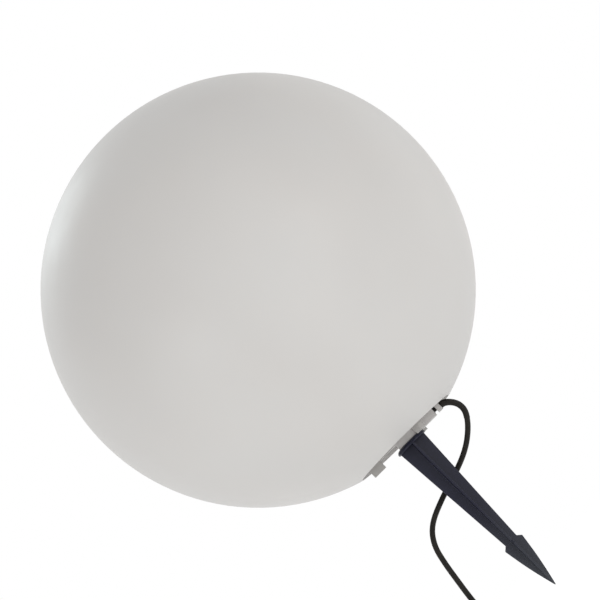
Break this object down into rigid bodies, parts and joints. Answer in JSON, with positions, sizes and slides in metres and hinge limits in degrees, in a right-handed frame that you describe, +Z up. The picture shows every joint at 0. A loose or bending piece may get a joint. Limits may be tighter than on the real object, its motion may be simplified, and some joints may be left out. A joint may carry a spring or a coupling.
{
  "type": "garden globe light",
  "caption": "White ball-shaped garden light on a bayonet base cap with a dark ground spike, a mains cable, a lamp holder and an LED bulb inside.",
  "frame": {"origin": "on the light's axis at the ground line, level with the undersides of the three feet", "axes": "+Z up along the light's axis from the spike's point to the top of the globe; +X towards the side where the cable leaves the base cap"},
  "size_m": [0.4998, 0.4998, 0.7284],
  "materials": {
    "globe_plastic": "satin, translucent white polyethylene",
    "cap_plastic": "satin white plastic",
    "black_rubber": "matte",
    "screw_steel": "zinc plated",
    "holder_plastic": "satin",
    "ceramic": "glazed",
    "contact_brass": "plain",
    "cable_rubber": "matte",
    "live_sheath": "satin",
    "neutral_sheath": "satin",
    "cap_metal": "nickel plated",
    "bulb_plastic": "gloss",
    "board_aluminium": "white masked",
    "diffuser_plastic": "frosted",
    "spike_plastic": "satin dark blue-grey",
    "plug_rubber": "matte"
  },
  "bodies": {
    "spike": {"ground_spike": "spike_plastic", "cable_coil": "cable_rubber", "coil_tie": "black_rubber", "cable_tail": "cable_rubber", "plug_strain_relief": "plug_rubber", "plug_body": "plug_rubber", "plug_pin_1": "cap_metal", "plug_pin_2": "cap_metal"},
    "base": {"base_cap": "cap_plastic", "rim_gasket": "black_rubber", "cable_gland": "black_rubber", "cable_clamp": "cap_plastic", "clamp_screw_1": "screw_steel", "clamp_screw_2": "screw_steel", "holder_pillar": "cap_plastic", "pillar_screw_1": "screw_steel", "pillar_screw_2": "screw_steel", "pillar_screw_3": "screw_steel", "holder_nipple": "screw_steel", "nipple_nut_1": "screw_steel", "nipple_nut_2": "screw_steel", "lamp_holder_shell": "holder_plastic", "lamp_holder_insert": "ceramic", "holder_screw_shell": "contact_brass", "centre_contact": "contact_brass", "side_contact": "contact_brass", "inner_cable": "cable_rubber", "live_wire": "live_sheath", "neutral_wire": "neutral_sheath", "cable": "cable_rubber"},
    "globe": {"globe_shell": "globe_plastic"},
    "bulb": {"bulb_tip": "contact_brass", "bulb_insulator": "holder_plastic", "bulb_cap": "cap_metal", "bulb_housing": "bulb_plastic", "led_board": "board_aluminium", "bulb_diffuser": "diffuser_plastic"}
  },
  "joints": [
    {"name": "base_lift", "type": "slide", "parent": "spike", "child": "base", "axis": [0, 0, 1], "range_m": [0, 0.04]},
    {"name": "globe_twist", "type": "hinge", "parent": "base", "child": "globe", "pos_m": [0, 0, 0.03], "axis": [0, 0, 1], "range_deg": [0, 34]},
    {"name": "bulb_lift", "type": "slide", "parent": "base", "child": "bulb", "axis": [0, 0, 1], "range_m": [0, 0.03]}
  ]
}
